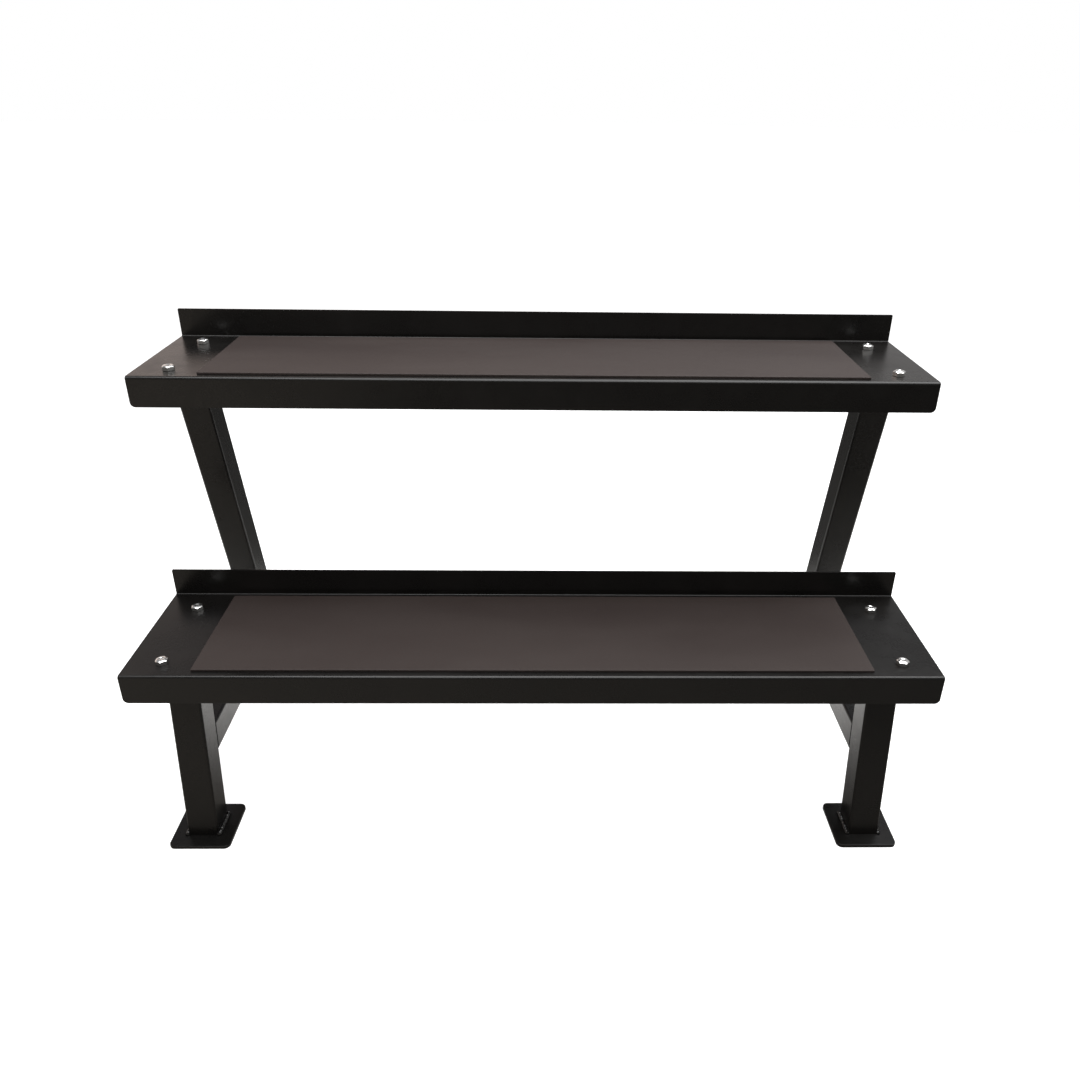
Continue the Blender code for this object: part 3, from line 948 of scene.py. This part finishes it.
def press_hexagon(bm, across_flats, face, low, high, both_ends):
    """Presses a turned body into a hexagon, with its chamfers following the outline."""
    corner = corner_radius(across_flats)
    for vert in bm.verts:
        radius = hypot(vert.co.x, vert.co.y)
        reach = hexagon_reach(vert.co.x, vert.co.y, across_flats) - (corner - radius)
        if radius < face + HAIR or reach >= radius:
            continue
        wanted = max(reach, face)
        rise = (radius - wanted) * CHAMFER_SLOPE
        vert.co.x *= wanted / radius
        vert.co.y *= wanted / radius
        if vert.co.z > (low + high) / 2:
            vert.co.z = min(high, vert.co.z + rise)
        elif both_ends:
            vert.co.z = max(low, vert.co.z - rise)


def cut_thread(bm, sizes, top, tip):
    """Sinks a helical thread into a turned shank between two heights."""
    depth = THREAD_DEPTH * sizes.thread_pitch
    for vert in bm.verts:
        radius = hypot(vert.co.x, vert.co.y)
        if not tip - HAIR < vert.co.z < top or radius < sizes.shank_radius / 2:
            continue
        phase = (vert.co.z / sizes.thread_pitch - atan2(vert.co.y, vert.co.x) / tau) % 1.0
        groove = min(1.0, max(0.0, 1.25 * abs(2.0 * phase - 1.0) - 0.125))
        start = min(1.0, (top - vert.co.z) / sizes.thread_pitch)
        wanted = sizes.shank_radius - depth * groove * start
        wanted = min(wanted, sizes.shank_radius - depth * 1.3 + (vert.co.z - tip))
        vert.co.x *= wanted / radius
        vert.co.y *= wanted / radius


class RACK_OT_bolts(Operator):
    """Turn the hexagon bolts, with dished heads and cut threads"""

    bl_idname = "rack.bolts"
    bl_label = "Bolts"

    def execute(self, context):
        sizes = context.scene.rack_sizes
        chance = random.Random(5)
        for tier, row, side in BOLT_PLACES:
            node = f"{tier}_bolt_{row}_{side}"
            low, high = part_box(node)
            bm = self.bolt(high.z - low.z - sizes.head_height, sizes)
            place = Vector((middle(node).x, middle(node).y, high.z - sizes.head_height))
            turn = Matrix.Rotation(chance.uniform(0.0, pi / 3), 4, "Z")
            bmesh.ops.transform(bm, verts=bm.verts, matrix=Matrix.Translation(place) @ turn)
            add_piece(context, node + "_zinc", bm, "bright_zinc", node)
        return {"FINISHED"}

    def bolt(self, length, sizes):
        """A bolt with the underside of its head at z = 0."""
        flats, height, shank = sizes.across_flats, sizes.head_height, sizes.shank_radius
        face = sizes.face_radius
        corner = corner_radius(flats)
        thread_top = THREAD_LENGTH - length
        rings = ceil((thread_top + length) * RINGS_PER_PITCH / sizes.thread_pitch)
        shoulder = height - sizes.crown_drop - chamfer_drop(corner, face)
        profile = [(reach * face, height - sunk * sizes.dish_depth) for reach, sunk in DISH]
        profile += [(face * (CREST + (1.0 - CREST) * part), height - sizes.crown_drop * part ** 1.6)
                    for part in CROWN]
        profile += [(corner - 0.0005, shoulder + 0.0003), (corner - 0.0001, shoulder - 0.0001),
                    (corner, shoulder - 0.0004), (corner, 0.0003), (corner - 0.0003, 0.0),
                    (face, 0.0), (face, -0.0002), (shank + 0.0004, -0.0002), (shank, -0.0006)]
        step = (thread_top + length) / rings
        profile += [(shank, thread_top - step * number) for number in range(rings + 1)]
        profile += [(0.0, -length)]
        bm = turned(profile)
        press_hexagon(bm, flats, face, 0.0, height, False)
        cut_thread(bm, sizes, thread_top, -length)
        return bm


class RACK_OT_washers(Operator):
    """Punch the flat washers under the arms"""

    bl_idname = "rack.washers"
    bl_label = "Washers"

    def execute(self, context):
        sizes = context.scene.rack_sizes
        soft = WASHER_EDGE
        for tier, row, side in BOLT_PLACES:
            node = f"{tier}_washer_{row}_{side}"
            low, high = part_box(node)
            thick = high.z - low.z
            bore, rim = sizes.hole_radius, (high.x - low.x) / 2
            profile = [(bore, soft), (bore + soft, 0.0), (rim - soft, 0.0), (rim, soft),
                       (rim, thick - soft), (rim - soft, thick), (bore + soft, thick),
                       (bore, thick - soft)]
            bm = turned(profile, closed=True)
            centre = (low + high) / 2
            bmesh.ops.translate(bm, verts=bm.verts, vec=(centre.x, centre.y, low.z))
            add_piece(context, node + "_zinc", bm, "bright_zinc", node)
        return {"FINISHED"}


class RACK_OT_nuts(Operator):
    """Turn the hexagon nuts, chamfered on both faces"""

    bl_idname = "rack.nuts"
    bl_label = "Nuts"

    def execute(self, context):
        sizes = context.scene.rack_sizes
        chance = random.Random(11)
        flats, face, flare = sizes.across_flats, sizes.face_radius, BORE_FLARE
        corner = corner_radius(flats)
        drop = chamfer_drop(corner, face)
        bore = sizes.shank_radius + BORE_PLAY
        for tier, row, side in BOLT_PLACES:
            node = f"{tier}_nut_{row}_{side}"
            low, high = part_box(node)
            thick = high.z - low.z
            profile = [(bore, flare), (bore + flare, 0.0), (face, 0.0), (corner, drop),
                       (corner, thick - drop), (face, thick), (bore + flare, thick),
                       (bore, thick - flare)]
            bm = turned(profile, closed=True)
            press_hexagon(bm, flats, face, 0.0, thick, True)
            centre = (low + high) / 2
            turn = Matrix.Rotation(chance.uniform(0.0, pi / 3), 4, "Z")
            place = Matrix.Translation((centre.x, centre.y, low.z))
            bmesh.ops.transform(bm, verts=bm.verts, matrix=place @ turn)
            add_piece(context, node + "_zinc", bm, "bright_zinc", node)
        return {"FINISHED"}


# Studio

class RACK_OT_studio(Operator):
    """Lay the floor, hang the lights and set the camera"""

    bl_idname = "rack.studio"
    bl_label = "Studio"

    def execute(self, context):
        studio = context.scene.rack_studio
        self.lay_floor(context, studio)
        self.light_surround(context, studio)
        self.hang_softbox(context, studio.softbox_power)
        self.set_camera(context, studio)
        context.scene.view_settings.view_transform = "Standard"
        return {"FINISHED"}

    def lay_floor(self, context, studio):
        """A white floor and backdrop for the camera, over a dimmer floor for the reflections."""
        white = Finish("pale_floor", Roughness=0.9, Specular_IOR_Level=0.1, Emission_Strength=1.0)
        mottle = white.noise(3.0, 3.0)
        paler = tuple(part * 1.02 for part in studio.floor)
        white.feed(white.shader.inputs["Base Color"], white.blend(mottle, studio.floor, paler))
        white.feed(white.shader.inputs["Emission Color"], white.as_colour(studio.floor_glow))
        self.stage_sheet(context, "floor", self.level_sheet(0.0), white, True)

        plain = Finish("backdrop", Roughness=1.0, Specular_IOR_Level=0.0, Emission_Strength=1.0)
        plain.feed(plain.shader.inputs["Base Color"], (0.0, 0.0, 0.0, 1.0))
        plain.feed(plain.shader.inputs["Emission Color"], plain.as_colour(studio.backdrop))
        bm = bmesh.new()
        bmesh.ops.create_icosphere(bm, subdivisions=4, radius=BACKDROP_RADIUS)
        bmesh.ops.reverse_faces(bm, faces=bm.faces)
        self.stage_sheet(context, "backdrop", bm, plain, True)

        dim = Finish("dim_floor", Roughness=0.9, Specular_IOR_Level=0.1, Emission_Strength=1.0)
        across, back = dim.part_of(dim.place, "X"), dim.part_of(dim.place, "Y")
        near = dim.between(back, *FLOOR_NEAR)
        steep = dim.between(across, *FLOOR_STEEP)
        gentle = dim.between(across, *FLOOR_GENTLE)
        front = dim.blend(steep + (gentle - steep) * near, studio.sheen_left, studio.sheen_right)
        under = dim.between(back, *FLOOR_UNDER)
        behind = dim.between(back, *FLOOR_BEHIND)
        ahead = dim.blend(under, front, studio.sheen_under)
        colour = dim.blend(behind, ahead, studio.sheen_rear)
        glow = dim.blend(under * (1.0 - behind), studio.sheen_glow, studio.sheen_under_glow)
        dim.feed(dim.shader.inputs["Base Color"], colour)
        dim.feed(dim.shader.inputs["Emission Color"], glow)
        self.stage_sheet(context, "dim_floor", self.level_sheet(-0.0005), dim, False)

    def level_sheet(self, height):
        bm = bmesh.new()
        bmesh.ops.create_grid(bm, x_segments=8, y_segments=8, size=FLOOR_SIZE)
        bmesh.ops.translate(bm, verts=bm.verts, vec=(0.0, 0.0, height))
        return bm

    def stage_sheet(self, context, name, bm, finish, seen_directly):
        """A stage piece that either the camera sees, or the lights and reflections do."""
        mesh = bpy.data.meshes.new(name)
        bm.to_mesh(mesh)
        bm.free()
        mesh.materials.append(finish.material)
        sheet = bpy.data.objects.new(name, mesh)
        context.scene.collection.objects.link(sheet)
        sheet.visible_camera = seen_directly
        sheet.visible_diffuse = not seen_directly
        sheet.visible_glossy = not seen_directly
        sheet.visible_shadow = not seen_directly

    def light_surround(self, context, studio):
        world = context.scene.world or bpy.data.worlds.new("surround")
        context.scene.world = world
        world.use_nodes = True
        nodes = Nodes(world.node_tree)
        towards = nodes.node("ShaderNodeTexCoord", output="Generated")
        across, back, height = (nodes.part_of(towards, axis) for axis in "XYZ")
        walls = nodes.blend(nodes.between(across, -0.5, 0.5), studio.left_wall, studio.right_wall)
        far = nodes.blend(nodes.between(height, 0.08, 0.20), studio.horizon, walls)
        low = nodes.blend(nodes.between(back, -0.5, -0.2), studio.front_wall, far)
        colour = nodes.blend(nodes.between(height, 0.30, 0.58), low, studio.overhead)
        background = world.node_tree.nodes["Background"]
        nodes.feed(background.inputs["Color"], colour)
        nodes.feed(background.inputs["Strength"], studio.surround)

    def hang_softbox(self, context, power):
        lamp = bpy.data.lights.new("softbox", "AREA")
        lamp.shape = "RECTANGLE"
        lamp.size, lamp.size_y = SOFTBOX_SIZE
        lamp.energy = power
        light = bpy.data.objects.new("softbox", lamp)
        light.location = SOFTBOX_PLACE
        aim = Vector(SOFTBOX_TARGET) - Vector(SOFTBOX_PLACE)
        light.rotation_euler = aim.to_track_quat("-Z", "Y").to_euler()
        context.scene.collection.objects.link(light)

    def set_camera(self, context, studio):
        lens = bpy.data.cameras.new("camera")
        lens.lens = studio.camera_lens
        lens.shift_x, lens.shift_y = studio.camera_shift
        camera = bpy.data.objects.new("camera", lens)
        turn = Matrix.Rotation(-studio.camera_yaw, 4, "Z")
        tilt = Matrix.Rotation(pi / 2 - studio.camera_pitch, 4, "X")
        roll = Matrix.Rotation(studio.camera_roll, 4, "Z")
        camera.matrix_world = Matrix.Translation(studio.camera_place) @ turn @ tilt @ roll
        context.scene.collection.objects.link(camera)
        context.scene.camera = camera


class RACK_PT_sidebar(Panel):
    """The rack's pieces, in the order in which they are made"""

    bl_label = "Dumbbell Rack"
    bl_space_type = "VIEW_3D"
    bl_region_type = "UI"
    bl_category = "Rack"

    def draw(self, context):
        for step in STEPS:
            self.layout.operator(step.bl_idname)
        for title in GROUPS:
            group = getattr(context.scene, title)
            box = self.layout.box()
            for name in group.bl_rna.properties.keys():
                if name not in ("rna_type", "name"):
                    box.prop(group, name)


STEPS = (
    RACK_OT_trays,
    RACK_OT_mats,
    RACK_OT_legs,
    RACK_OT_rails,
    RACK_OT_arms,
    RACK_OT_plugs,
    RACK_OT_foot_plates,
    RACK_OT_foot_welds,
    RACK_OT_frame_welds,
    RACK_OT_bolts,
    RACK_OT_washers,
    RACK_OT_nuts,
    RACK_OT_studio,
)
GROUPS = {"rack_sizes": RackSizes, "rack_colours": RackColours, "rack_studio": RackStudio}


def register():
    for group in (*GROUPS.values(), *STEPS, RACK_PT_sidebar):
        bpy.utils.register_class(group)
    for name, group in GROUPS.items():
        setattr(bpy.types.Scene, name, PointerProperty(type=group))


def unregister():
    for name in GROUPS:
        delattr(bpy.types.Scene, name)
    for group in reversed((*GROUPS.values(), *STEPS, RACK_PT_sidebar)):
        bpy.utils.unregister_class(group)


def main():
    register()
    for step in STEPS:
        family, name = step.bl_idname.split(".")
        getattr(getattr(bpy.ops, family), name)()


if __name__ == "__main__":
    main()
